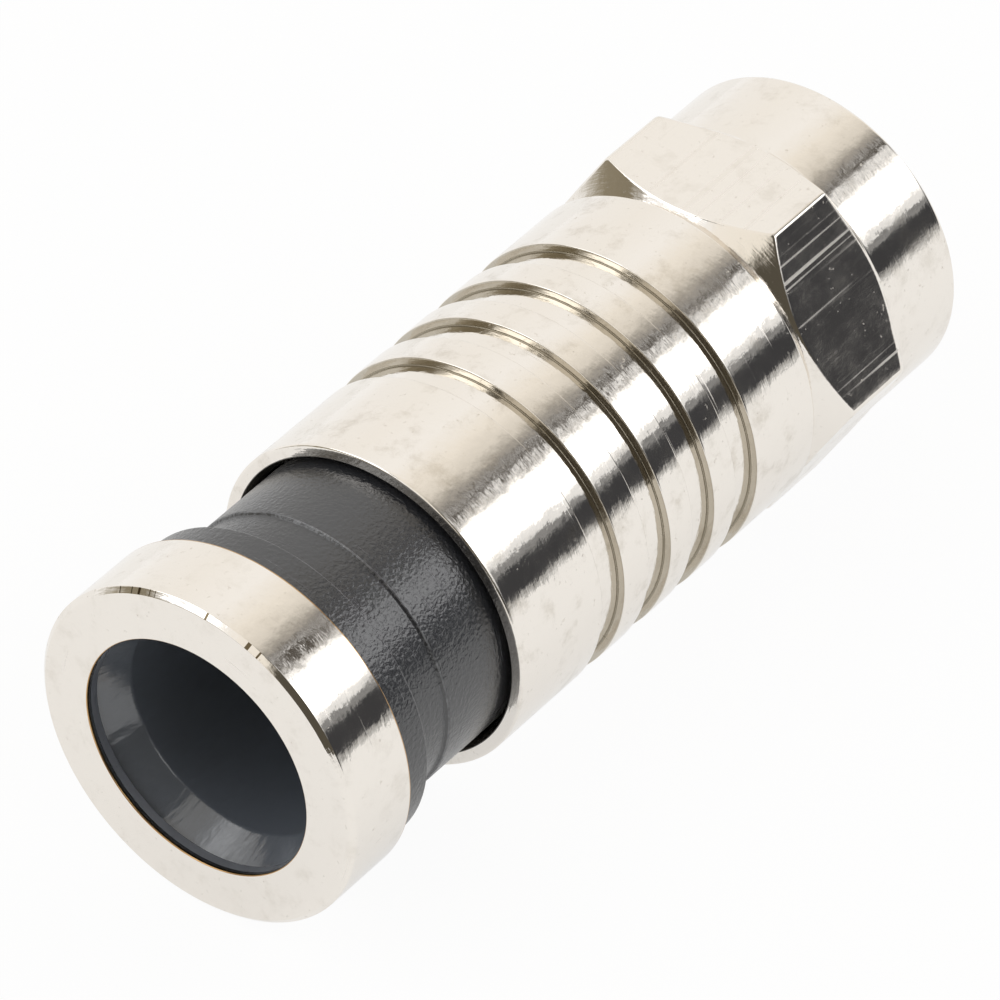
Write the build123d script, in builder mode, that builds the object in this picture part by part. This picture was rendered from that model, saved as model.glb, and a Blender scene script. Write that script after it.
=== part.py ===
"""Compression F connector for a coaxial cable, lying on its side, before it is pressed on a cable."""
from build123d import *
import math
import os

os.makedirs("parts", exist_ok=True)

# Layout
# The connector axis runs along +X with the nut in front, and the floor is at Z = 0.
# Every "_x" value is a distance along the axis, measured from the rear face of the end ring.
# Radii build up from the dielectric outwards, and lengths from the ring to the nut.

# Fits
turning_gap = 0.05
sliding_gap = 0.07
press_allowance = 0.02
seal_gap = 0.03

# Post
post_bore_radius = 2.45
post_wall = 0.5
post_barb_rise = 0.3
post_barb_length = 1.1
post_tip_wall = 0.2
post_tip_length = 1.6
post_press_step = 0.35
post_collar_step = 0.4
post_flange_thickness = 1.15
post_tip_depth = 0.84

# Sleeve
jacket_room = 0.53
sleeve_wall = 1.2
sleeve_neck_relief = 0.1
sleeve_flange_rise = 0.57
sleeve_flange_length = 1.21
sleeve_neck_length = 1.7
sleeve_stroke = 4.49
sleeve_engaged_length = 1.44
sleeve_nose_length = 2.3
sleeve_nose_taper = 0.48
sleeve_mouth_length = 1.2
sleeve_mouth_flare = 0.47
sleeve_throat_margin = 0.5
sleeve_throat_step = 0.17

# Ring
ring_length = 2.76
ring_wall = 0.85
ring_lip_thickness = 0.5
ring_hole_margin = 0.32
ring_bevel_depth = 0.14
ring_bevel_width = 0.16

# Shell
body_wall = 0.58
body_rim_chamfer = 0.07
body_mouth_flare = 0.18
body_mouth_depth = 0.3
body_bore_margin = 0.21
body_taper_step = 0.35
body_end_room = 2.31
body_web_thickness = 4.36

# Grip grooves: distance of each front wall from the rim, then the section that they share
groove_offsets = (5.12, 7.47, 9.69, 11.91)
groove_width = 1.12
groove_depth = 0.28

# Thread: 3/8-32 UNEF, of which only the crest bore is cut here
thread_minor_radius = 4.37
thread_depth = 0.39
thread_relief_step = 0.09
thread_start_gap = 0.08

# Nut
nut_flat_wall = 0.74
nut_collar_step = 0.01
nut_gap = 0.1
nut_length = 7.74
nut_rear_cone_length = 1.04
nut_hexagon_length = 2.62
nut_front_cone_length = 0.63
nut_front_chamfer = 0.15
nut_lip_thickness = 0.9
nut_rear_rim = 0.34

# Seal
seal_thickness = 0.88
seal_bore_gap = 0.06
seal_pocket_gap = 0.12
seal_pocket_slack = 0.03

# Radii that follow
post_tube_radius = post_bore_radius + post_wall
post_barb_radius = post_tube_radius + post_barb_rise
post_tip_radius = post_bore_radius + post_tip_wall
post_press_radius = post_tube_radius + post_press_step
post_collar_radius = post_press_radius + post_collar_step
post_flange_radius = thread_minor_radius - sliding_gap
sleeve_bore_radius = post_barb_radius + jacket_room
sleeve_slide_radius = sleeve_bore_radius + sleeve_wall
sleeve_neck_radius = sleeve_slide_radius - sleeve_neck_relief
sleeve_flange_radius = sleeve_slide_radius + sleeve_flange_rise
sleeve_nose_radius = sleeve_slide_radius - sleeve_nose_taper
sleeve_mouth_radius = sleeve_bore_radius + sleeve_mouth_flare
sleeve_throat_radius = sleeve_bore_radius + sleeve_throat_step
ring_seat_radius = sleeve_slide_radius + press_allowance
ring_outer_radius = ring_seat_radius + ring_wall
ring_hole_radius = sleeve_bore_radius + ring_hole_margin
body_bore_radius = sleeve_slide_radius + sliding_gap
body_mouth_radius = body_bore_radius + body_mouth_flare
body_radius = body_bore_radius + body_wall
body_cavity_radius = body_bore_radius - body_taper_step
thread_major_radius = thread_minor_radius + thread_depth
nut_relief_radius = thread_major_radius + thread_relief_step
nut_flat_radius = thread_major_radius + nut_flat_wall
nut_corner_radius = nut_flat_radius / math.cos(math.pi / 6)
nut_collar_radius = nut_flat_radius - nut_collar_step
seal_inner_radius = post_collar_radius + seal_bore_gap
seal_outer_radius = seal_inner_radius + seal_thickness
seal_pocket_radius = seal_outer_radius + seal_pocket_gap
nut_rear_radius = seal_pocket_radius + nut_rear_rim
nut_lip_hole_radius = post_collar_radius + turning_gap
axis_height = max(ring_outer_radius, nut_flat_radius)

# Places that follow
sleeve_flange_x = ring_length + sleeve_flange_length
sleeve_step_x = sleeve_flange_x + sleeve_neck_length
sleeve_mouth_x = ring_lip_thickness + sleeve_mouth_length
body_rear_x = sleeve_flange_x + sleeve_stroke
sleeve_nose_x = body_rear_x + sleeve_engaged_length
sleeve_front_x = sleeve_nose_x + sleeve_nose_length
post_tip_x = body_rear_x + post_tip_depth
post_barb_x = post_tip_x + post_tip_length
sleeve_throat_x = post_tip_x - sleeve_throat_margin
body_taper_x = sleeve_nose_x + sleeve_stroke + body_bore_margin
body_web_x = sleeve_front_x + sleeve_stroke + body_end_room
body_front_x = body_web_x + body_web_thickness
nut_rear_x = body_front_x + nut_gap
nut_corner_rear_x = nut_rear_x + nut_rear_cone_length
nut_corner_front_x = nut_corner_rear_x + nut_hexagon_length
nut_collar_x = nut_corner_front_x + nut_front_cone_length
seal_x = body_front_x + seal_gap
seal_pocket_x = seal_x + seal_thickness + nut_gap + seal_pocket_slack
nut_lip_x = seal_pocket_x + nut_lip_thickness
post_flange_x = nut_lip_x + turning_gap
post_front_x = post_flange_x + post_flange_thickness
thread_rear_x = post_front_x + thread_start_gap
overall_length = nut_rear_x + nut_length

# Planes: profiles are drawn as distance along the axis and radius
rear_point = (-overall_length / 2, 0, axis_height)
connector_axis = Axis(rear_point, (1, 0, 0))
profile_plane = Plane(rear_point, x_dir=(1, 0, 0), z_dir=(0, -1, 0))
section_plane = Plane(rear_point, x_dir=(0, 1, 0), z_dir=(1, 0, 0))

# Compression ring: turned ring with a beveled rear edge, whose lip holds the end of the sleeve
with BuildPart() as compression_ring:
    with BuildSketch(profile_plane):
        with BuildLine():
            Polyline(
                (0, ring_hole_radius),
                (0, ring_outer_radius - ring_bevel_width),
                (ring_bevel_depth, ring_outer_radius),
                (ring_length, ring_outer_radius),
                (ring_length, ring_seat_radius),
                (ring_lip_thickness, ring_seat_radius),
                (ring_lip_thickness, ring_hole_radius),
                close=True,
            )
        make_face()
    revolve(axis=connector_axis)

# Compression sleeve: seat for the ring, flange, neck, sliding length and slim nose
with BuildPart() as compression_sleeve:
    with BuildSketch(profile_plane):
        with BuildLine():
            Polyline(
                (ring_lip_thickness, sleeve_mouth_radius),
                (ring_lip_thickness, ring_seat_radius),
                (ring_length, ring_seat_radius),
                (ring_length, sleeve_flange_radius),
                (sleeve_flange_x, sleeve_flange_radius),
                (sleeve_flange_x, sleeve_neck_radius),
                (sleeve_step_x, sleeve_neck_radius),
                (sleeve_step_x + sleeve_neck_relief, sleeve_slide_radius),
                (sleeve_nose_x, sleeve_slide_radius),
                (sleeve_front_x, sleeve_nose_radius),
                (sleeve_front_x, sleeve_throat_radius),
                (sleeve_throat_x, sleeve_throat_radius),
                (sleeve_throat_x, sleeve_bore_radius),
                (sleeve_mouth_x, sleeve_bore_radius),
                close=True,
            )
        make_face()
    revolve(axis=connector_axis)

# Connector body: turned shell with grip grooves outside and a stepped cavity inside
with BuildPart() as connector_body:
    with BuildSketch(section_plane.offset(body_rear_x)):
        Circle(body_radius)
    extrude(amount=body_front_x - body_rear_x)
    chamfer(connector_body.edges().filter_by(GeomType.CIRCLE).sort_by(Axis.X)[0], body_rim_chamfer)
    # Cavity: flared mouth, sliding bore, and the taper that squeezes the nose of the sleeve
    with BuildSketch(profile_plane):
        with BuildLine():
            Polyline(
                (body_rear_x, 0),
                (body_rear_x, body_mouth_radius),
                (body_rear_x + body_mouth_depth, body_bore_radius),
                (body_taper_x, body_bore_radius),
                (body_web_x, body_cavity_radius),
                (body_web_x, 0),
                close=True,
            )
        make_face()
    revolve(axis=connector_axis, mode=Mode.SUBTRACT)
    with Locations(section_plane.offset(body_front_x)):
        Hole(post_press_radius, depth=body_web_thickness)
    # Grip grooves: square cut, each floor at the same depth
    with BuildSketch(profile_plane):
        for offset in groove_offsets:
            with Locations((body_rear_x + offset - groove_width / 2, body_radius)):
                Rectangle(groove_width, groove_depth * 2)
    revolve(axis=connector_axis, mode=Mode.SUBTRACT)

# Inner post: flanged tube that the dielectric enters; its barb holds the braid of the cable
with BuildPart() as inner_post:
    with BuildSketch(profile_plane):
        with BuildLine():
            Polyline(
                (post_tip_x, post_bore_radius),
                (post_tip_x, post_tip_radius),
                (post_barb_x, post_barb_radius),
                (post_barb_x + post_barb_length, post_tube_radius),
                (body_web_x, post_tube_radius),
                (body_web_x, post_press_radius),
                (body_front_x, post_press_radius),
                (body_front_x, post_collar_radius),
                (post_flange_x, post_collar_radius),
                (post_flange_x, post_flange_radius),
                (post_front_x, post_flange_radius),
                (post_front_x, post_bore_radius),
                close=True,
            )
        make_face()
    revolve(axis=connector_axis)

# Coupling nut: hexagonal bar with turned cones at both ends of the flats, then a round collar
with BuildPart() as coupling_nut:
    with BuildSketch(section_plane.offset(nut_rear_x)):
        RegularPolygon(nut_corner_radius, 6)
    extrude(amount=nut_length)
    # What the turned cones and the collar leave of the bar
    with BuildSketch(profile_plane):
        with BuildLine():
            Polyline(
                (nut_rear_x, 0),
                (nut_rear_x, nut_rear_radius),
                (nut_corner_rear_x, nut_corner_radius),
                (nut_corner_front_x, nut_corner_radius),
                (nut_collar_x, nut_collar_radius),
                (overall_length, nut_collar_radius),
                (overall_length, 0),
                close=True,
            )
        make_face()
    revolve(axis=connector_axis, mode=Mode.INTERSECT)
    chamfer(coupling_nut.edges().filter_by(GeomType.CIRCLE).sort_by(Axis.X)[-1], nut_front_chamfer)
    # Seal pocket, retaining lip, relief, and the thread's bore with a flared mouth
    with BuildSketch(profile_plane):
        with BuildLine():
            Polyline(
                (nut_rear_x, 0),
                (nut_rear_x, seal_pocket_radius),
                (seal_pocket_x, seal_pocket_radius),
                (seal_pocket_x, nut_lip_hole_radius),
                (nut_lip_x, nut_lip_hole_radius),
                (nut_lip_x, nut_relief_radius),
                (thread_rear_x, nut_relief_radius),
                (thread_rear_x, thread_minor_radius),
                (overall_length - thread_depth, thread_minor_radius),
                (overall_length, thread_major_radius),
                (overall_length, 0),
                close=True,
            )
        make_face()
    revolve(axis=connector_axis, mode=Mode.SUBTRACT)

# Seal: square-cut rubber ring in the pocket of the nut, around the collar of the post
with BuildPart() as nut_seal:
    with BuildSketch(section_plane.offset(seal_x)):
        Circle(seal_outer_radius)
        Circle(seal_inner_radius, mode=Mode.SUBTRACT)
    extrude(amount=seal_thickness)

compression_ring.part.label = "compression_ring"
compression_sleeve.part.label = "compression_sleeve"
connector_body.part.label = "connector_body"
inner_post.part.label = "inner_post"
coupling_nut.part.label = "coupling_nut"
nut_seal.part.label = "nut_seal"

export_step(compression_ring.part, "parts/compression_ring.step")
export_step(compression_sleeve.part, "parts/compression_sleeve.step")
export_step(connector_body.part, "parts/connector_body.step")
export_step(inner_post.part, "parts/inner_post.step")
export_step(coupling_nut.part, "parts/coupling_nut.step")
export_step(nut_seal.part, "parts/nut_seal.step")
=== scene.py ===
"""Looks of a compression F connector: nickel-plated brass, black nylon sleeve and rubber seal, on a pale studio
floor."""
import bpy
import math
import numpy as np
from mathutils import Matrix, Vector


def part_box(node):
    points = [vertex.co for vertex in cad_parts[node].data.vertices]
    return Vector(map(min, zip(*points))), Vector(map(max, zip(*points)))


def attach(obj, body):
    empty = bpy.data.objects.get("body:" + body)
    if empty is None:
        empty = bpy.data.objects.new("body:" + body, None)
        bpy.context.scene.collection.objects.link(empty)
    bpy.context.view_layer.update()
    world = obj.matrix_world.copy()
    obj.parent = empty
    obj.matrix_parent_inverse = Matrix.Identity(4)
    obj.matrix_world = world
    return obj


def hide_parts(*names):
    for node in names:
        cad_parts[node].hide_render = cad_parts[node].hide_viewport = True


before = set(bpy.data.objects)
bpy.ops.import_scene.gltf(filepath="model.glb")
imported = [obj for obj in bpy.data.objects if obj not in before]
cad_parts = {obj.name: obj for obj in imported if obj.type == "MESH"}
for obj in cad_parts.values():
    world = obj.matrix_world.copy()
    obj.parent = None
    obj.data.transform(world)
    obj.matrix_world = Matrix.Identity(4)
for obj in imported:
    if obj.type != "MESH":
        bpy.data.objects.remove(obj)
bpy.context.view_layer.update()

# Lengths below are millimetres, and MM turns them into Blender's metres. Places along the axis are distances from the
# rear face of the end ring
MM = 0.001
REAR_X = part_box("compression_ring")[0][0] / MM
AXIS_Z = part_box("compression_ring")[1][2] / MM / 2

# Edge breaks of turned and moulded edges, and the rows that ease one edge: a curve and a guard row on each side
SHARP_EDGE = 0.0001
FINE_EDGE = 0.03
SMALL_EDGE = 0.05
SOFT_EDGE = 0.07
CURVE_ROWS = 5
ROWS_PER_CORNER = CURVE_ROWS + 2

# End ring
RING_RADIUS = 5.85
RING_LENGTH = 2.76
RING_HOLE = 4.10
RING_LIP = 0.50
RING_FACE_RADIUS = 5.68
RING_BEVEL_LENGTH = 0.16

# Sleeve
SEAT_RADIUS = 5.00
FLANGE_RADIUS = 5.55
FLANGE_END = 3.97
NECK_RADIUS = 4.88
NECK_END = 5.67
SLIDE_RADIUS = 4.98
SLIDE_START = 5.77
SLIDE_END = 9.90
NOSE_RADIUS = 4.50
SLEEVE_FRONT = 12.20
SLEEVE_MOUTH = 4.25
SLEEVE_MOUTH_END = 1.70
SLEEVE_BORE = 3.78
THROAT_RADIUS = 3.95
THROAT_START = 8.80

# Shell and its grooves, by the place of each groove's front wall
BODY_RADIUS = 5.63
BODY_REAR = 8.46
BODY_FRONT = 23.36
BODY_MOUTH = 5.23
BODY_MOUTH_END = 8.76
BODY_BORE = 5.05
TAPER_START = 14.60
TAPER_RADIUS = 4.70
WEB_REAR = 19.00
WEB_RADIUS = 3.30
GROOVE_WALLS = (13.58, 15.93, 18.15, 20.37)
GROOVE_WIDTH = 1.12
GROOVE_FLOOR = 5.35

# Post
POST_REAR = 9.30
POST_BORE = 2.45
POST_TIP_RADIUS = 2.65
BARB_START = 10.90
BARB_RADIUS = 3.25
BARB_END = 12.00
TUBE_RADIUS = 2.95
POST_COLLAR = 3.70
POST_FLANGE_REAR = 25.35
POST_FLANGE = 4.30
POST_FRONT = 26.50

# Seal
SEAL_REAR = 23.39
SEAL_FRONT = 24.27
SEAL_HOLE = 3.76
SEAL_RADIUS = 4.64

# Nut: hexagon, cones, collar, pocket for the seal, lip behind the post's flange, and thread
FLAT = 5.50
CORNER_ROUNDING = 0.20
NUT_REAR = 23.46
NUT_REAR_RIM = 5.10
REAR_CONE_LENGTH = 1.04
FRONT_CONE_LENGTH = 0.53
COLLAR_REAR = 27.75
COLLAR = 5.47
COLLAR_BEVEL = 0.15
NUT_FRONT = 31.20
POCKET_RADIUS = 4.76
POCKET_FRONT = 24.40
LIP_HOLE = 3.75
LIP_FRONT = 25.30
RELIEF_RADIUS = 4.85
THREAD_PITCH = 25.4 / 32
THREAD_MINOR = 4.37
THREAD_MAJOR = 4.76
THREAD_START = 26.58
MOUTH_DEPTH = 0.39
FLAT_COLUMNS = 34
CORNER_COLUMNS = 8
ROWS_PER_PITCH = 22


def linear(code):
    """Colour of a six-digit sRGB code as linear red, green, blue and full opacity."""
    parts = [int(code[i:i + 2], 16) / 255 for i in (0, 2, 4)]
    return [p / 12.92 if p <= 0.04045 else ((p + 0.055) / 1.055) ** 2.4 for p in parts] + [1.0]


def add(tree, kind, settings=None, inputs=None, take=0):
    """Adds a node. settings set it, inputs fill its sockets, by name or number, with a value or with another node's
    socket. Returns the output named or numbered by take, or the node itself where take is None."""
    node = tree.nodes.new(kind)
    for key, value in (settings or {}).items():
        setattr(node, key, value)
    for key, value in (inputs or {}).items():
        if isinstance(value, bpy.types.NodeSocket):
            tree.links.new(value, node.inputs[key])
        else:
            node.inputs[key].default_value = value
    return node if take is None else node.outputs[take]


def empty_tree(owner):
    """The node tree of a material or a world, with nothing in it yet."""
    owner.use_nodes = True
    owner.node_tree.nodes.clear()
    return owner.node_tree


# Shapes
def eased_section(corners, breaks):
    """Rows of a closed section whose corners are eased.
    corners has the shape (corner, column, 2), breaks one length for each corner. Each corner becomes a quadratic curve
    (1-t)^2 a + 2t(1-t) c + t^2 b from the point a before the corner c to the point b after it, both at the break's
    distance, held to a third of the neighbouring sides. One more row on each side keeps the flats flat."""
    before, after = np.roll(corners, 1, 0), np.roll(corners, -1, 0)
    side_in = np.linalg.norm(corners - before, axis=-1, keepdims=True)
    side_out = np.linalg.norm(after - corners, axis=-1, keepdims=True)
    reach = np.minimum(np.asarray(breaks)[:, None, None], np.minimum(side_in, side_out) * 0.33)
    to_before, to_after = (before - corners) / side_in, (after - corners) / side_out
    a, b = corners + to_before * reach, corners + to_after * reach
    guard_a, guard_b = corners + to_before * reach * 1.3, corners + to_after * reach * 1.3
    t = np.linspace(0, 1, CURVE_ROWS)[None, :, None, None]
    curve = (1 - t) ** 2 * a[:, None] + 2 * t * (1 - t) * corners[:, None] + t ** 2 * b[:, None]
    rows = np.concatenate([guard_a[:, None], curve, guard_b[:, None]], axis=1)
    return rows.reshape(-1, *corners.shape[1:])


def closed_grid(name, rows, angles):
    """Skin of a ring-like piece: the row's distance along the axis gives x, and its radius r and the column's angle v
    give y = r sin v and z = r cos v above the axis. Rows and columns both close on themselves."""
    count_rows, count_columns = rows.shape[:2]
    x, r = rows[..., 0] + REAR_X, rows[..., 1]
    points = np.stack([x, r * np.sin(angles), r * np.cos(angles) + AXIS_Z], -1).reshape(-1, 3) * MM
    i, j = np.meshgrid(np.arange(count_rows), np.arange(count_columns), indexing="ij")
    next_i, next_j = (i + 1) % count_rows, (j + 1) % count_columns
    corners = [i * count_columns + j, i * count_columns + next_j, next_i * count_columns + next_j,
               next_i * count_columns + j]
    faces = np.stack(corners, -1).reshape(-1, 4)
    # A negative volume means that the faces look inwards
    a, b, c, d = (points[faces[:, n]] for n in range(4))
    volume = (np.cross(c - a, d - b) * (a + c)).sum()
    if volume < 0:
        faces = faces[:, ::-1]
    mesh = bpy.data.meshes.new(name)
    mesh.vertices.add(len(points))
    mesh.vertices.foreach_set("co", points.ravel())
    mesh.loops.add(faces.size)
    mesh.loops.foreach_set("vertex_index", faces.ravel().astype(np.int32))
    mesh.polygons.add(len(faces))
    mesh.polygons.foreach_set("loop_start", np.arange(0, faces.size, 4, dtype=np.int32))
    mesh.polygons.foreach_set("loop_total", np.full(len(faces), 4, dtype=np.int32))
    mesh.polygons.foreach_set("use_smooth", np.ones(len(faces), dtype=bool))
    mesh.update(calc_edges=True)
    mesh.validate()
    piece = bpy.data.objects.new(name, mesh)
    bpy.context.scene.collection.objects.link(piece)
    return piece


def turned(name, profile, columns):
    """A turned or moulded ring: every column has the same section, a list of (distance, radius, edge break)."""
    profile = np.asarray(profile)
    corners = np.repeat(profile[:, None, :2], columns, axis=1)
    angles = np.linspace(0, 2 * np.pi, columns, endpoint=False)
    return closed_grid(name, eased_section(corners, profile[:, 2]), angles)


def hexagon_radius():
    """Angles round a hexagon, closer together at its corners, and the radius of its outline at each: FLAT / cos on the
    flats, and where the ray meets the corner's rounding, c cos d + sqrt(rounding^2 - (c sin d)^2), with d the angle
    from the corner and c the distance of the rounding's centre from the axis."""
    half_flat = math.pi / 6
    c = (FLAT - CORNER_ROUNDING) / math.cos(half_flat)
    edge = math.atan2(CORNER_ROUNDING / 2, c + CORNER_ROUNDING * math.cos(half_flat))
    flat = np.linspace(-half_flat + edge, half_flat - edge, FLAT_COLUMNS, endpoint=False)
    corner = np.linspace(half_flat - edge, half_flat + edge, CORNER_COLUMNS, endpoint=False)
    d = corner - half_flat
    flat_radius = FLAT / np.cos(flat)
    corner_radius = c * np.cos(d) + np.sqrt(CORNER_ROUNDING ** 2 - (c * np.sin(d)) ** 2)
    sectors = np.arange(6)[:, None] * math.pi / 3
    angles = (np.concatenate([flat, corner])[None] + sectors).ravel()
    return angles, np.tile(np.concatenate([flat_radius, corner_radius]), 6)


def hexagon_nut(name):
    """The nut's skin. Outside, a cone meets the hexagon at the distance where their radii are equal, in each column on
    its own. Inside, the thread's radius falls from the major one by tan 60 for each millimetre from the root's middle,
    which moves one pitch in a turn, and is held between the minor radius and the mouth's cone."""
    angles, hexagon = hexagon_radius()
    corner = FLAT / math.cos(math.pi / 6)
    rear_cone = NUT_REAR + (hexagon - NUT_REAR_RIM) * REAR_CONE_LENGTH / (corner - NUT_REAR_RIM)
    front_cone = COLLAR_REAR - 0.10 - (hexagon - COLLAR) * FRONT_CONE_LENGTH / (corner - COLLAR)
    same = np.ones_like(hexagon)
    profile = [
        (NUT_REAR, POCKET_RADIUS, FINE_EDGE), (NUT_REAR, NUT_REAR_RIM, FINE_EDGE),
        (rear_cone, hexagon, 0.08), (front_cone, hexagon, 0.16),
        (COLLAR_REAR, COLLAR, SMALL_EDGE), (NUT_FRONT - COLLAR_BEVEL, COLLAR, 0.06),
        (NUT_FRONT, COLLAR - COLLAR_BEVEL, 0.06), (NUT_FRONT, THREAD_MAJOR, FINE_EDGE),
        (NUT_FRONT - MOUTH_DEPTH, THREAD_MINOR, SHARP_EDGE), (THREAD_START, THREAD_MINOR, SHARP_EDGE),
        (THREAD_START, RELIEF_RADIUS, FINE_EDGE), (LIP_FRONT, RELIEF_RADIUS, FINE_EDGE),
        (LIP_FRONT, LIP_HOLE, FINE_EDGE), (POCKET_FRONT, LIP_HOLE, FINE_EDGE),
        (POCKET_FRONT, POCKET_RADIUS, FINE_EDGE),
    ]
    corners = np.stack([np.stack([x * same, r * same], -1) for x, r, _ in profile])
    rows = eased_section(corners, [edge for _, _, edge in profile])
    # The thread takes the place of the profile's two sharp corners
    before_thread, after_thread = ROWS_PER_CORNER * 8, ROWS_PER_CORNER * 10
    count = int((NUT_FRONT - THREAD_START) / THREAD_PITCH * ROWS_PER_PITCH)
    x = np.linspace(NUT_FRONT - 0.05, THREAD_START + 0.02, count)[:, None] * same
    turns = (x - THREAD_START) / THREAD_PITCH - angles / (2 * np.pi)
    from_root = np.abs(turns % 1 - 0.5) * THREAD_PITCH
    radius = THREAD_MAJOR - math.sqrt(3) * np.maximum(from_root - THREAD_PITCH / 16, 0)
    mouth = THREAD_MAJOR - (NUT_FRONT - x)
    radius = np.maximum(np.maximum(radius, THREAD_MINOR), mouth)
    rows = np.concatenate([rows[:before_thread], np.stack([x, radius], -1), rows[after_thread:]])
    return closed_grid(name, rows, angles)


ring = turned("compression_ring_turned", [
    (0, RING_HOLE, SMALL_EDGE), (0, RING_FACE_RADIUS, 0.02), (RING_BEVEL_LENGTH, RING_RADIUS, 0.02),
    (RING_LENGTH, RING_RADIUS, SMALL_EDGE), (RING_LENGTH, SEAT_RADIUS, FINE_EDGE),
    (RING_LIP, SEAT_RADIUS, FINE_EDGE), (RING_LIP, RING_HOLE, FINE_EDGE),
], 360)

sleeve = turned("compression_sleeve_moulded", [
    (RING_LIP, SLEEVE_MOUTH, SOFT_EDGE), (RING_LIP, SEAT_RADIUS, FINE_EDGE), (RING_LENGTH, SEAT_RADIUS, FINE_EDGE),
    (RING_LENGTH, FLANGE_RADIUS, FINE_EDGE), (FLANGE_END, FLANGE_RADIUS, SOFT_EDGE), (FLANGE_END, NECK_RADIUS, 0.12),
    (NECK_END, NECK_RADIUS, FINE_EDGE), (SLIDE_START, SLIDE_RADIUS, FINE_EDGE), (SLIDE_END, SLIDE_RADIUS, SOFT_EDGE),
    (SLEEVE_FRONT, NOSE_RADIUS, SOFT_EDGE), (SLEEVE_FRONT, THROAT_RADIUS, FINE_EDGE),
    (THROAT_START, THROAT_RADIUS, FINE_EDGE), (THROAT_START, SLEEVE_BORE, FINE_EDGE),
    (SLEEVE_MOUTH_END, SLEEVE_BORE, SOFT_EDGE),
], 320)

groove_profile = [corner for wall in GROOVE_WALLS for corner in (
    (wall - GROOVE_WIDTH, BODY_RADIUS, SMALL_EDGE), (wall - GROOVE_WIDTH, GROOVE_FLOOR, FINE_EDGE),
    (wall, GROOVE_FLOOR, FINE_EDGE), (wall, BODY_RADIUS, SMALL_EDGE))]
body = turned("connector_body_turned", [
    (BODY_REAR, BODY_MOUTH, FINE_EDGE), (BODY_REAR, BODY_RADIUS, 0.10), *groove_profile,
    (BODY_FRONT, BODY_RADIUS, SOFT_EDGE), (BODY_FRONT, WEB_RADIUS, FINE_EDGE), (WEB_REAR, WEB_RADIUS, FINE_EDGE),
    (WEB_REAR, TAPER_RADIUS, SOFT_EDGE), (TAPER_START, BODY_BORE, SOFT_EDGE), (BODY_MOUTH_END, BODY_BORE, SOFT_EDGE),
], 330)

post = turned("inner_post_turned", [
    (POST_REAR, POST_BORE, 0.06), (POST_REAR, POST_TIP_RADIUS, 0.06), (BARB_START, BARB_RADIUS, FINE_EDGE),
    (BARB_END, TUBE_RADIUS, SOFT_EDGE), (WEB_REAR, TUBE_RADIUS, FINE_EDGE), (WEB_REAR, WEB_RADIUS, FINE_EDGE),
    (BODY_FRONT, WEB_RADIUS, FINE_EDGE), (BODY_FRONT, POST_COLLAR, FINE_EDGE),
    (POST_FLANGE_REAR, POST_COLLAR, FINE_EDGE), (POST_FLANGE_REAR, POST_FLANGE, FINE_EDGE),
    (POST_FRONT, POST_FLANGE, 0.12), (POST_FRONT, POST_BORE, 0.10),
], 240)

nut = hexagon_nut("coupling_nut_turned")

seal = turned("nut_seal_cut", [
    (SEAL_REAR, SEAL_HOLE, SOFT_EDGE), (SEAL_REAR, SEAL_RADIUS, SOFT_EDGE), (SEAL_FRONT, SEAL_RADIUS, SOFT_EDGE),
    (SEAL_FRONT, SEAL_HOLE, SOFT_EDGE),
], 200)


# Materials
# Nickel plate, its stains and specks, brass where it is worn through, dirt and painted shade in corners, dull walls,
# and painted shade in the shell's mouth, on the grooves' walls and in the tool's dashes
PLATE = "f2ede6"
STAIN = "c2b9aa"
PIT = "d0c9bd"
BRASS = "b98a3c"
OXIDE_AND_SHADE = "6b5f4a"
DULL_PLATE_AND_SHADE = "a49c88"
LIP = "b4b8c0"

# Black nylon outside, with painted light in the bore: a paler, bluish grey for the daylight of the mouth; its
# scratches, and painted highlights on its edges
NYLON = "26282d"
NYLON_BORE_PAINTED_LIGHT = "5f656e"
NYLON_SCRATCH = "55575c"
NYLON_EDGE_GLINT = "9b9da1"

# Tool marks and scratches have a scale along the profile and one round the piece, in cells for each millimetre: turned
# marks are 0.15 mm apart and 0.7 mm long, round scratches 0.1 mm and 3 mm, and a drawn bar's lines run along it
TURNED_MARKS = (6.5, 1.4, 1.4)
ROUND_SCRATCHES = (9.0, 0.35, 0.35)
DRAWN_MARKS = (0.3, 4.0, 4.0)
DRAWN_SCRATCHES = (0.05, 4.3, 4.3)


def around_axis(tree):
    """Coordinates on a turned piece in millimetres: the point with the rear face and the axis at zero, its three parts,
    its distance from the axis, and the length along its profile, which is x plus that distance."""
    place = add(tree, "ShaderNodeTexCoord", take="Object")
    point = add(tree, "ShaderNodeMapping", {}, {
        "Vector": place, "Location": (-REAR_X, 0, -AXIS_Z), "Scale": (1 / MM, 1 / MM, 1 / MM)})
    parts = add(tree, "ShaderNodeSeparateXYZ", {}, {0: point}, take=None).outputs
    across = add(tree, "ShaderNodeCombineXYZ", {}, {1: parts[1], 2: parts[2]})
    radius = add(tree, "ShaderNodeVectorMath", {"operation": "LENGTH"}, {0: across}, take="Value")
    along = add(tree, "ShaderNodeMath", {"operation": "ADD"}, {0: parts[0], 1: radius})
    lined = add(tree, "ShaderNodeCombineXYZ", {}, {0: along, 1: parts[1], 2: parts[2]})
    return point, parts, radius, lined


def within(tree, share, radius, x, low_r, high_r, low_x, high_x):
    """A share between two radii and two places along the axis, and zero elsewhere."""
    for value, low, high in ((radius, low_r, high_r), (x, low_x, high_x)):
        inside = add(tree, "ShaderNodeMath", {"operation": "COMPARE"}, {
            0: value, 1: (low + high) / 2, 2: (high - low) / 2})
        share = add(tree, "ShaderNodeMath", {"operation": "MULTIPLY"}, {0: share, 1: inside})
    return share


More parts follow.
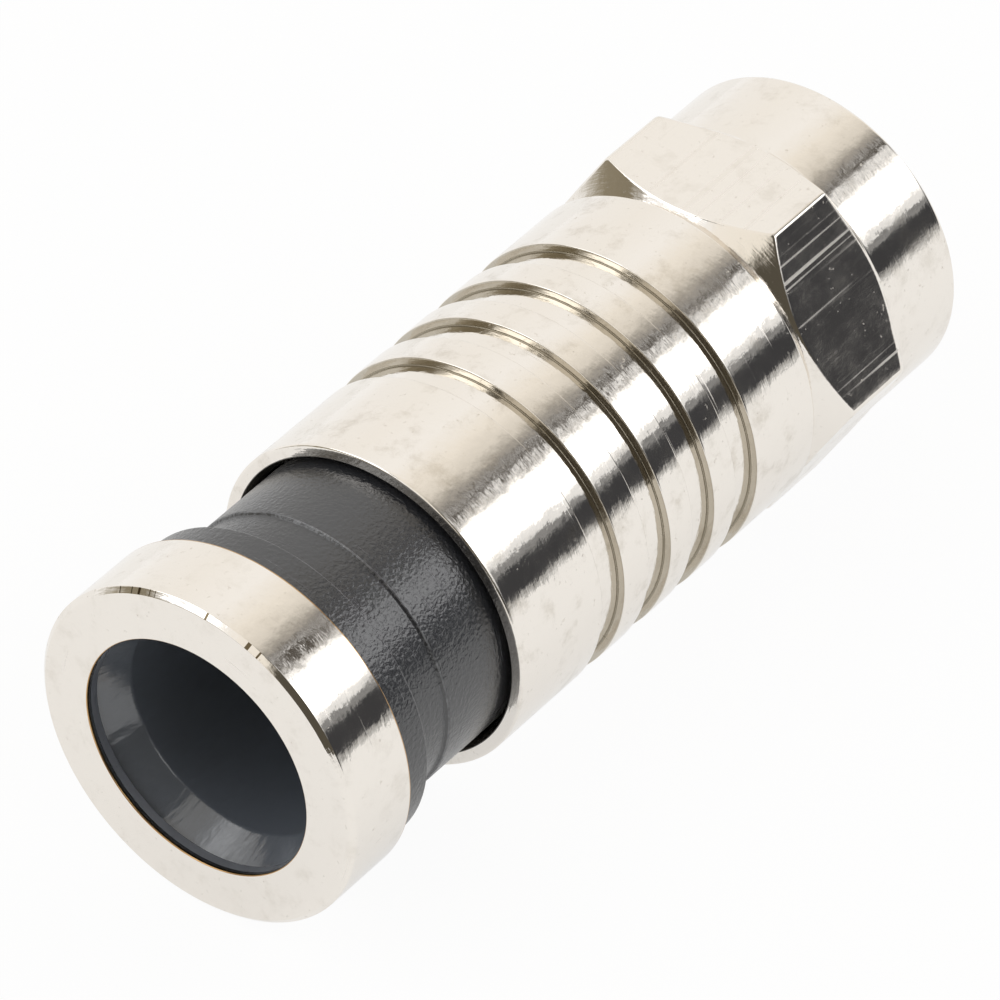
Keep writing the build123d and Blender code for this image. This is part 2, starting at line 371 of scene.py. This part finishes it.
def painted_dark_dashes(tree, parts, radius, least_radius, greatest_x, least_height):
    """Short dashes across a bevel, in bursts: a noise that changes only round the axis, cut at a level. They stand for
    the tool's marks and are painted dark, and only above least_height, where the bevel's highlight is.
    """
    radial = add(tree, "ShaderNodeMath", {"operation": "GREATER_THAN"}, {0: radius, 1: least_radius})
    endwise = add(tree, "ShaderNodeMath", {"operation": "LESS_THAN"}, {0: parts[0], 1: greatest_x})
    high = add(tree, "ShaderNodeMath", {"operation": "GREATER_THAN"}, {0: parts[2], 1: least_height})
    there = add(tree, "ShaderNodeMath", {"operation": "MULTIPLY"}, {0: radial, 1: endwise})
    there = add(tree, "ShaderNodeMath", {"operation": "MULTIPLY"}, {0: there, 1: high})
    across = add(tree, "ShaderNodeCombineXYZ", {}, {1: parts[1], 2: parts[2]})
    across = add(tree, "ShaderNodeVectorMath", {"operation": "NORMALIZE"}, {0: across})
    for scale, detail, level in ((26.0, 1.0, 0.60), (3.3, 0.0, 0.54)):
        noise = add(tree, "ShaderNodeTexNoise", {}, {"Vector": across, "Scale": scale, "Detail": detail})
        noise = add(tree, "ShaderNodeMath", {"operation": "GREATER_THAN"}, {0: noise, 1: level})
        there = add(tree, "ShaderNodeMath", {"operation": "MULTIPLY"}, {0: there, 1: noise})
    return there


def nickel(name, marks, mark_depth, cloud, speck, scratch, scratch_from, polish=(0.06, 0.14), wear_and_shade=(), chatter_shade=None):
    """Bright nickel plate on brass: a warm mirror with fine tool marks, stains, dull specks and scratches.
    marks is the scale of the marks along and round the piece, scratch that of the scratches, which show where the noise
    is above scratch_from. cloud and speck are the strongest shares of stains and specks. polish is the roughness of
    clean and of stained plate. wear has rows of (low radius, high radius, low x, high x, colour, share, roughness
    added) where the plate is stained or worn, and rows where shade is painted into its colour. chatter has the least
    radius, the greatest x and the least height of the dashes that the tool left, which are painted dark."""
    material = bpy.data.materials.new(name)
    tree = empty_tree(material)
    point, parts, radius, lined = around_axis(tree)
    # Tool marks: fine ridges that tilt the mirror along the piece and hardly round it, stronger in patches 0.7 mm wide
    stretched = add(tree, "ShaderNodeVectorMath", {"operation": "MULTIPLY"}, {0: lined, 1: marks})
    ridges = add(tree, "ShaderNodeTexNoise", {}, {
        "Vector": stretched, "Scale": 1.0, "Detail": 2.5, "Roughness": 0.6, "Distortion": 0.2})
    patches = add(tree, "ShaderNodeTexNoise", {}, {"Vector": point, "Scale": 1.4, "Detail": 1.0})
    patches = add(tree, "ShaderNodeMapRange", {}, {0: patches, 1: 0.35, 2: 0.65, 3: 0.25, 4: 1.0})
    ridges = add(tree, "ShaderNodeMath", {"operation": "MULTIPLY"}, {0: ridges, 1: patches})
    # Polishing leaves a swell 2 mm long and a grain of 0.17 mm under them
    swell = add(tree, "ShaderNodeTexNoise", {}, {"Vector": point, "Scale": 0.5, "Detail": 0.0})
    grain = add(tree, "ShaderNodeTexNoise", {}, {"Vector": point, "Scale": 6.0, "Detail": 2.0})
    bump = add(tree, "ShaderNodeBump", {}, {"Height": swell, "Distance": 0.012 * MM})
    bump = add(tree, "ShaderNodeBump", {}, {"Height": grain, "Distance": 0.0022 * MM, "Normal": bump})
    bump = add(tree, "ShaderNodeBump", {}, {"Height": ridges, "Distance": mark_depth * MM, "Normal": bump})
    # Stains: cloudy patches about a millimetre wide
    mottle = add(tree, "ShaderNodeTexNoise", {}, {"Vector": point, "Scale": 0.9, "Detail": 5.0, "Roughness": 0.66})
    clouds = add(tree, "ShaderNodeMapRange", {"interpolation_type": "SMOOTHSTEP"}, {
        0: mottle, 1: 0.50, 2: 0.76, 3: 0.0, 4: cloud})
    colour = add(tree, "ShaderNodeMix", {"data_type": "RGBA"}, {0: clouds, 6: linear(PLATE), 7: linear(STAIN)}, take=2)
    # Specks a tenth of a millimetre wide and scratches: both scatter the light, so they are pale in dark reflections
    dots = add(tree, "ShaderNodeTexNoise", {}, {"Vector": point, "Scale": 4.6, "Detail": 2.5, "Roughness": 0.6})
    specks = add(tree, "ShaderNodeMapRange", {"interpolation_type": "SMOOTHSTEP"}, {
        0: dots, 1: 0.64, 2: 0.80, 3: 0.0, 4: speck})
    hairs = add(tree, "ShaderNodeVectorMath", {"operation": "MULTIPLY"}, {0: lined, 1: scratch})
    hairs = add(tree, "ShaderNodeTexNoise", {}, {"Vector": hairs, "Scale": 1.0, "Detail": 1.0})
    hairs = add(tree, "ShaderNodeMapRange", {"interpolation_type": "SMOOTHSTEP"}, {
        0: hairs, 1: scratch_from, 2: scratch_from + 0.12, 3: 0.0, 4: 0.75})
    worn = add(tree, "ShaderNodeMath", {"operation": "MAXIMUM"}, {0: specks, 1: hairs})
    colour = add(tree, "ShaderNodeMix", {"data_type": "RGBA"}, {0: specks, 6: colour, 7: linear(PIT)}, take=2)
    rough = add(tree, "ShaderNodeMapRange", {}, {0: mottle, 1: 0.40, 2: 0.66, 3: polish[0], 4: polish[1]})
    rough = add(tree, "ShaderNodeMath", {"operation": "MULTIPLY_ADD"}, {0: worn, 1: 0.42, 2: rough})
    # Rows of stains, worn plate and painted shade, each mixed into the colour and added to the roughness
    for low_r, high_r, low_x, high_x, code, share, more in wear_and_shade:
        mask = within(tree, share, radius, parts[0], low_r, high_r, low_x, high_x)
        colour = add(tree, "ShaderNodeMix", {"data_type": "RGBA"}, {0: mask, 6: colour, 7: linear(code)}, take=2)
        rough = add(tree, "ShaderNodeMath", {"operation": "MULTIPLY_ADD"}, {0: mask, 1: more, 2: rough})
    # Painted shade: the tool's dashes on the bevel are dark in the colour, and only high up, where its highlight is
    if chatter_shade:
        dashes = painted_dark_dashes(tree, parts, radius, *chatter_shade)
        colour = add(tree, "ShaderNodeMix", {"data_type": "RGBA"}, {0: dashes, 6: colour, 7: linear(OXIDE_AND_SHADE)}, take=2)
    shader = add(tree, "ShaderNodeBsdfPrincipled", {}, {
        "Base Color": colour, "Metallic": 1.0, "Roughness": rough, "Normal": bump})
    add(tree, "ShaderNodeOutputMaterial", {}, {"Surface": shader}, take=None)
    return material


def black_plastic(name):
    """Moulded black nylon: satin, with leathery pebbles 0.13 mm wide outside, smooth inside, scratched by handling."""
    material = bpy.data.materials.new(name)
    tree = empty_tree(material)
    point, parts, radius, lined = around_axis(tree)
    outside = add(tree, "ShaderNodeMapRange", {}, {0: radius, 1: 4.26, 2: 4.45})
    pebble = add(tree, "ShaderNodeTexNoise", {}, {
        "Vector": point, "Scale": 7.5, "Detail": 1.5, "Roughness": 0.5, "Distortion": 0.4})
    pebble = add(tree, "ShaderNodeMath", {"operation": "MULTIPLY"}, {0: pebble, 1: outside})
    bump = add(tree, "ShaderNodeBump", {}, {"Height": pebble, "Distance": 0.029 * MM})
    # The mouth's cone is dished, which turns its gloss out of the hole, and it is drawn in streaks along the axis
    inside = add(tree, "ShaderNodeMath", {"operation": "SUBTRACT"}, {0: 1.0, 1: outside})
    dish = add(tree, "ShaderNodeMath", {"operation": "MULTIPLY"}, {0: parts[0], 1: inside})
    bump = add(tree, "ShaderNodeBump", {}, {"Height": dish, "Distance": 0.20 * MM, "Normal": bump})
    streaks = add(tree, "ShaderNodeVectorMath", {"operation": "MULTIPLY"}, {0: point, 1: (0.6, 3.4, 3.4)})
    streaks = add(tree, "ShaderNodeTexNoise", {}, {"Vector": streaks, "Scale": 1.0, "Detail": 2.0})
    streaks = add(tree, "ShaderNodeMath", {"operation": "MULTIPLY"}, {0: streaks, 1: inside})
    bump = add(tree, "ShaderNodeBump", {}, {"Height": streaks, "Distance": 0.02 * MM, "Normal": bump})
    # Scratches round the sleeve: 0.08 mm apart and some 2 mm long
    scratches = add(tree, "ShaderNodeVectorMath", {"operation": "MULTIPLY"}, {0: lined, 1: (13.0, 0.45, 0.45)})
    scratches = add(tree, "ShaderNodeTexNoise", {}, {"Vector": scratches, "Scale": 1.0, "Detail": 2.0})
    scratches = add(tree, "ShaderNodeMapRange", {}, {0: scratches, 1: 0.68, 2: 0.78})
    scratches = add(tree, "ShaderNodeMath", {"operation": "MULTIPLY"}, {0: scratches, 1: outside})
    bump = add(tree, "ShaderNodeBump", {}, {"Height": scratches, "Distance": 0.008 * MM, "Normal": bump})
    colour = add(tree, "ShaderNodeMix", {"data_type": "RGBA"}, {
        0: scratches, 6: linear(NYLON), 7: linear(NYLON_SCRATCH)}, take=2)
    # Painted light: the bore is a paler, bluish grey than the nylon outside, for the light that comes in at the mouth
    colour = add(tree, "ShaderNodeMix", {"data_type": "RGBA"}, {0: outside, 6: linear(NYLON_BORE_PAINTED_LIGHT), 7: colour}, take=2)
    # Painted highlights: the step's edge and the flange's front edge are painted pale in places, as glints along them
    edge_glint = add(tree, "ShaderNodeTexNoise", {}, {"Vector": point, "Scale": 1.3, "Detail": 4.0, "Roughness": 0.7})
    edge_glint = add(tree, "ShaderNodeMapRange", {}, {0: edge_glint, 1: 0.36, 2: 0.64, 3: 0.0, 4: 0.5})
    for edge in ((4.93, 5.02, 5.735, 5.775), (5.50, 5.60, 3.93, FLANGE_END)):
        mask = within(tree, edge_glint, radius, parts[0], *edge)
        colour = add(tree, "ShaderNodeMix", {"data_type": "RGBA"}, {
            0: mask, 6: colour, 7: linear(NYLON_EDGE_GLINT)}, take=2)
    rough = add(tree, "ShaderNodeMapRange", {}, {0: outside, 3: 0.17, 4: 0.27})
    shader = add(tree, "ShaderNodeBsdfPrincipled", {}, {
        "Base Color": colour, "Roughness": rough, "IOR": 1.6, "Specular IOR Level": 0.85,
        "Sheen Weight": 0.25, "Sheen Roughness": 0.3, "Normal": bump})
    add(tree, "ShaderNodeOutputMaterial", {}, {"Surface": shader}, take=None)
    return material


def rubber(name):
    """Moulded black rubber: dull, with a fine grain of 0.11 mm."""
    material = bpy.data.materials.new(name)
    tree = empty_tree(material)
    point, parts, radius, lined = around_axis(tree)
    grain = add(tree, "ShaderNodeTexNoise", {}, {"Vector": point, "Scale": 9.0, "Detail": 3.0})
    bump = add(tree, "ShaderNodeBump", {}, {"Height": grain, "Distance": 0.01 * MM})
    colour = add(tree, "ShaderNodeMix", {"data_type": "RGBA"}, {
        0: grain, 6: linear("1d1d1e"), 7: linear("2b2b2c")}, take=2)
    shader = add(tree, "ShaderNodeBsdfPrincipled", {}, {"Base Color": colour, "Roughness": 0.7, "Normal": bump})
    add(tree, "ShaderNodeOutputMaterial", {}, {"Surface": shader}, take=None)
    return material


# Dirt and painted shade in the front corner of each groove, painted shade in the shell's mouth, and thin, dull plate
# on the grooves' walls, with a painted reflection of a shaded floor in its colour
groove_corner_dirt_and_shade = [(GROOVE_FLOOR - 0.02, GROOVE_FLOOR + 0.05, wall - 0.05, wall + 0.02, OXIDE_AND_SHADE, 0.7, 0.2)
               for wall in GROOVE_WALLS]
# Painted shade: the grooves' front walls are brownish grey for the shaded floor they reflect, and rougher as dull plate
groove_wall_dull_and_shade = [(GROOVE_FLOOR, 5.61, wall - 0.02, wall + 0.02, DULL_PLATE_AND_SHADE, 0.6, 0.08) for wall in GROOVE_WALLS]
# Painted shade: the inside of the shell's mouth is darkened, where the sleeve shades it
mouth_painted_shade = [(4.60, 5.22, 8.40, 19.1, OXIDE_AND_SHADE, 0.6, 0.2)]
body_nickel = nickel(
    "nickel_plate_turned_shell", TURNED_MARKS, 0.0090, 0.45, 0.75, ROUND_SCRATCHES, 0.71,
    wear_and_shade=groove_corner_dirt_and_shade + groove_wall_dull_and_shade + mouth_painted_shade)
post_nickel = nickel("nickel_plate_turned_post", TURNED_MARKS, 0.0090, 0.35, 0.6, ROUND_SCRATCHES, 0.71)
# The ring's plate is worn through at the hole's rear edge and at the front edge, and the hole's wall is dull and shaded
ring_wear = [
    (4.05, 4.13, -0.01, 0.10, BRASS, 0.85, 0.1), (4.05, 4.13, 0.20, 0.60, LIP, 1.0, 0.5),
    (5.70, 5.90, 2.70, 2.80, BRASS, 0.8, 0.1)]
ring_nickel = nickel(
    "nickel_plate_turned_ring", TURNED_MARKS, 0.0080, 0.22, 0.65, ROUND_SCRATCHES, 0.71,
    wear_and_shade=ring_wear, chatter_shade=(5.685, 0.155, 4.7))
nut_nickel = nickel("nickel_plate_turned_nut", TURNED_MARKS, 0.0080, 0.30, 0.65, ROUND_SCRATCHES, 0.72)
flat_nickel = nickel(
    "nickel_plate_drawn_hexagon", DRAWN_MARKS, 0.0035, 0.25, 0.8, DRAWN_SCRATCHES, 0.60, (0.08, 0.155))
nylon = black_plastic("black_nylon_moulded")
black_rubber = rubber("black_rubber_moulded")

for piece, node, carrier, finishes, slot_name in (
    (ring, "compression_ring", "sleeve", [ring_nickel], "ring_nickel"),
    (sleeve, "compression_sleeve", "sleeve", [nylon], "sleeve_black"),
    (body, "connector_body", "shell", [body_nickel], "body_nickel"),
    (post, "inner_post", "shell", [post_nickel], "post_nickel"),
    (nut, "coupling_nut", "nut", [nut_nickel, flat_nickel], "nut_nickel"),
    (seal, "nut_seal", "shell", [black_rubber], "seal_black"),
):
    for finish in finishes:
        piece.data.materials.append(finish)
    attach(piece, carrier)
    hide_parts(node)

# The six flats keep the drawn bar's finish, from the middle of one eased edge to the middle of the other
columns = 6 * (FLAT_COLUMNS + CORNER_COLUMNS)
first_row, last_row = (ROWS_PER_CORNER * corner + 3 for corner in (2, 3))
finish_of_face = np.zeros(len(nut.data.polygons), dtype=np.int32)
finish_of_face[first_row * columns:last_row * columns] = 1
nut.data.polygons.foreach_set("material_index", finish_of_face)

# Floor: pale, and nearly white to the camera and in reflections, with the shadow kept faint
FLOOR_HALF = 0.12
CAMERA_GLOW = 0.95
REFLECTED_GLOW = 0.65
floor_mesh = bpy.data.meshes.new("studio_floor")
floor_mesh.from_pydata([
    (-FLOOR_HALF, -FLOOR_HALF, 0), (FLOOR_HALF, -FLOOR_HALF, 0), (FLOOR_HALF, FLOOR_HALF, 0),
    (-FLOOR_HALF, FLOOR_HALF, 0)], [], [(0, 1, 2, 3)])
floor = bpy.data.objects.new("studio_floor", floor_mesh)
bpy.context.scene.collection.objects.link(floor)
floor_material = bpy.data.materials.new("studio_floor_white")
tree = empty_tree(floor_material)
path = add(tree, "ShaderNodeLightPath", take=None).outputs
matte = add(tree, "ShaderNodeBsdfDiffuse", {}, {"Color": linear("f4f4f3")})
glow = add(tree, "ShaderNodeEmission", {}, {"Color": (1, 1, 1, 1), "Strength": 1.0})
camera_share = add(tree, "ShaderNodeMath", {"operation": "MULTIPLY"}, {0: path["Is Camera Ray"], 1: CAMERA_GLOW})
glossy_share = add(tree, "ShaderNodeMath", {"operation": "MULTIPLY"}, {0: path["Is Glossy Ray"], 1: REFLECTED_GLOW})
share = add(tree, "ShaderNodeMath", {"operation": "MAXIMUM"}, {0: camera_share, 1: glossy_share})
mixed = add(tree, "ShaderNodeMixShader", {}, {0: share, 1: matte, 2: glow})
add(tree, "ShaderNodeOutputMaterial", {}, {"Surface": mixed}, take=None)
floor_mesh.materials.append(floor_material)

# World: a studio round the long axis. The bands give the colour at each angle about that axis, from 10 degrees below
# the near horizon, over the top, to 10 degrees below the far one. Ahead: a dark flag, a long softbox, a narrow gap that
# the softbox's edge breaks up, and a pale wall. Behind the camera: a dark room under a lit ceiling
FIRST_ANGLE, LAST_ANGLE = -10, 190
DARK_ROOM = "555046"
STAND_DIRECTION = (-0.607, 0.26, 0.75)
CEILING_EDGE = (1.0, 0.0, 1.4)
LAMP_GAIN = 1.4
ahead_stops = [
    (-10, "e4e4e3"), (-6, "dcdcdb"), (-3.5, "c4c4c3"), (-0.5, "adacaa"), (1.5, "434345"), (3, "3f3f41"),
    (15.5, "3f3f41"), (17, "5c5c5d"), (18.2, "979797"), (19.6, "8a8a8a"), (20.8, "777777"), (22, "858585"),
    (22.8, "efefef"), (27.5, "f2f2f2"), (29.5, "ffffff"), (52, "ffffff"), (57, "a39e97"), (60, "544f49"),
    (69, "544f49"), (75, "aaa59d"), (82, "e2dcd2"), (95, "f7f1e7"), (112, "fffdfa"), (140, "fbf8f3"),
    (170, "fbf9f6"), (184, "ffffff")]
behind_stops = [
    (-10, "c8c6c2"), (-2, "b5b2ac"), (0, DARK_ROOM), (40, DARK_ROOM), (60, "f6f0e4"), (100, "fbf6ee"),
    (114, "ffffff"), (147, "ffffff"), (157, "857c69"), (172, "8f8672"), (186, "b5ad9a")]
softbox_stops = [(28, "000000"), (33, "ffffff"), (48, "ffffff"), (57, "000000")]
ceiling_stops = [(108, "000000"), (118, "ffffff"), (147, "ffffff"), (153, "000000")]
world = bpy.data.worlds.new("studio")
bpy.context.scene.world = world
tree = empty_tree(world)
way = add(tree, "ShaderNodeTexCoord", take="Generated")
parts = add(tree, "ShaderNodeSeparateXYZ", {}, {0: way}, take=None).outputs
near = add(tree, "ShaderNodeMath", {"operation": "MULTIPLY"}, {0: parts[1], 1: -1.0})
turned_up = add(tree, "ShaderNodeMath", {"operation": "ARCTAN2"}, {0: parts[2], 1: near})
# The angle jumps from 180 to -180 at the far horizon, so the last few degrees are read as more than 180
wrapped = add(tree, "ShaderNodeMath", {"operation": "LESS_THAN"}, {0: turned_up, 1: -math.pi / 2})
turned_up = add(tree, "ShaderNodeMath", {"operation": "MULTIPLY_ADD"}, {0: wrapped, 1: 2 * math.pi, 2: turned_up})
place = add(tree, "ShaderNodeMapRange", {}, {
    0: turned_up, 1: math.radians(FIRST_ANGLE), 2: math.radians(LAST_ANGLE)})
bands = []
for stops in (ahead_stops, behind_stops, softbox_stops, ceiling_stops):
    node = add(tree, "ShaderNodeValToRGB", {}, {0: place}, take=None)
    elements = node.color_ramp.elements
    elements.remove(elements[1])
    for number, (angle, code) in enumerate(stops):
        position = (angle - FIRST_ANGLE) / (LAST_ANGLE - FIRST_ANGLE)
        element = elements[0] if number == 0 else elements.new(position)
        element.position = position
        element.color = linear(code)
    bands.append(node.outputs[0])
ahead, behind, softbox, ceiling = bands
# Folds at the softbox's edge: bright and dark bars along x inside the gap
folds = add(tree, "ShaderNodeVectorMath", {"operation": "MULTIPLY"}, {0: way, 1: (44.0, 12.0, 12.0)})
folds = add(tree, "ShaderNodeTexNoise", {}, {"Vector": folds, "Scale": 1.0, "Detail": 2.0})
folds = add(tree, "ShaderNodeMapRange", {"interpolation_type": "SMOOTHSTEP"}, {0: folds, 1: 0.47, 2: 0.53})
gap_start = add(tree, "ShaderNodeMapRange", {"interpolation_type": "SMOOTHSTEP"}, {
    0: turned_up, 1: math.radians(50), 2: math.radians(57)})
gap_end = add(tree, "ShaderNodeMapRange", {"interpolation_type": "SMOOTHSTEP"}, {
    0: turned_up, 1: math.radians(62), 2: math.radians(76), 3: 1.0, 4: 0.0})
in_gap = add(tree, "ShaderNodeMath", {"operation": "MULTIPLY"}, {0: gap_start, 1: gap_end})
folds = add(tree, "ShaderNodeMath", {"operation": "MULTIPLY"}, {0: folds, 1: in_gap})
ahead = add(tree, "ShaderNodeMix", {"data_type": "RGBA"}, {0: folds, 6: ahead, 7: (1, 1, 1, 1)}, take=2)
# The camera's side of the room is dark, and so is a lamp stand on the other side
camera_side = add(tree, "ShaderNodeMapRange", {"interpolation_type": "SMOOTHSTEP"}, {
    0: parts[1], 1: -0.16, 2: -0.24, 3: 0.0, 4: 1.0})
from_stand = add(tree, "ShaderNodeVectorMath", {"operation": "DISTANCE"}, {0: way, 1: STAND_DIRECTION}, take="Value")
stand = add(tree, "ShaderNodeMapRange", {"interpolation_type": "SMOOTHSTEP"}, {
    0: from_stand, 1: 0.07, 2: 0.12, 3: 1.0, 4: 0.0})
unlit = add(tree, "ShaderNodeMath", {"operation": "MAXIMUM"}, {0: camera_side, 1: stand})
behind = add(tree, "ShaderNodeMix", {"data_type": "RGBA"}, {0: unlit, 6: behind, 7: linear(DARK_ROOM)}, take=2)
turned_back = add(tree, "ShaderNodeMapRange", {"interpolation_type": "SMOOTHSTEP"}, {
    0: parts[0], 1: -0.42, 2: -0.2, 3: 1.0, 4: 0.0})
colour = add(tree, "ShaderNodeMix", {"data_type": "RGBA"}, {0: turned_back, 6: ahead, 7: behind}, take=2)
# The softbox ahead and the ceiling behind are brighter than white. The ceiling's lamps end over the camera, so only
# directions above a slanting plane meet them
in_front = add(tree, "ShaderNodeMath", {"operation": "SUBTRACT"}, {0: 1.0, 1: turned_back})
share = add(tree, "ShaderNodeMath", {"operation": "MULTIPLY"}, {0: softbox, 1: in_front})
lit = add(tree, "ShaderNodeMath", {"operation": "SUBTRACT"}, {0: turned_back, 1: unlit})
lit = add(tree, "ShaderNodeMath", {"operation": "MULTIPLY"}, {0: lit, 1: ceiling})
above = add(tree, "ShaderNodeVectorMath", {"operation": "DOT_PRODUCT"}, {0: way, 1: CEILING_EDGE}, take="Value")
above = add(tree, "ShaderNodeMapRange", {"interpolation_type": "SMOOTHSTEP"}, {0: above, 1: 0.0, 2: 0.05})
lit = add(tree, "ShaderNodeMath", {"operation": "MULTIPLY"}, {0: lit, 1: above})
share = add(tree, "ShaderNodeMath", {"operation": "MAXIMUM"}, {0: share, 1: lit})
strength = add(tree, "ShaderNodeMath", {"operation": "MULTIPLY_ADD"}, {0: share, 1: LAMP_GAIN, 2: 1.0})
studio = add(tree, "ShaderNodeBackground", {}, {0: colour, 1: strength})
white = add(tree, "ShaderNodeBackground", {}, {"Color": (1, 1, 1, 1), "Strength": 1.0})
camera_ray = add(tree, "ShaderNodeLightPath", take="Is Camera Ray")
shown = add(tree, "ShaderNodeMixShader", {}, {0: camera_ray, 1: studio, 2: white})
add(tree, "ShaderNodeOutputWorld", {}, {"Surface": shown}, take=None)

# Camera: 40 degrees above the floor, looking along the connector from its cable end
CAMERA_PLACE = (-166.481, -124.992, 182.994)
CAMERA_TURN, CAMERA_TILT = math.radians(-52.973), math.radians(40.503)
camera_data = bpy.data.cameras.new("camera")
camera_data.sensor_width = 36
camera_data.lens = 324
camera_data.clip_start = 0.01
camera = bpy.data.objects.new("camera", camera_data)
bpy.context.scene.collection.objects.link(camera)
forward = Vector((
    -math.sin(CAMERA_TURN) * math.cos(CAMERA_TILT), math.cos(CAMERA_TURN) * math.cos(CAMERA_TILT),
    -math.sin(CAMERA_TILT)))
right = Vector((math.cos(CAMERA_TURN), math.sin(CAMERA_TURN), 0))
facing = Matrix((right, right.cross(forward), -forward)).transposed().to_4x4()
camera.matrix_world = Matrix.Translation(Vector(CAMERA_PLACE) * MM) @ facing
bpy.context.scene.camera = camera

bpy.context.scene.view_settings.view_transform = "Standard"
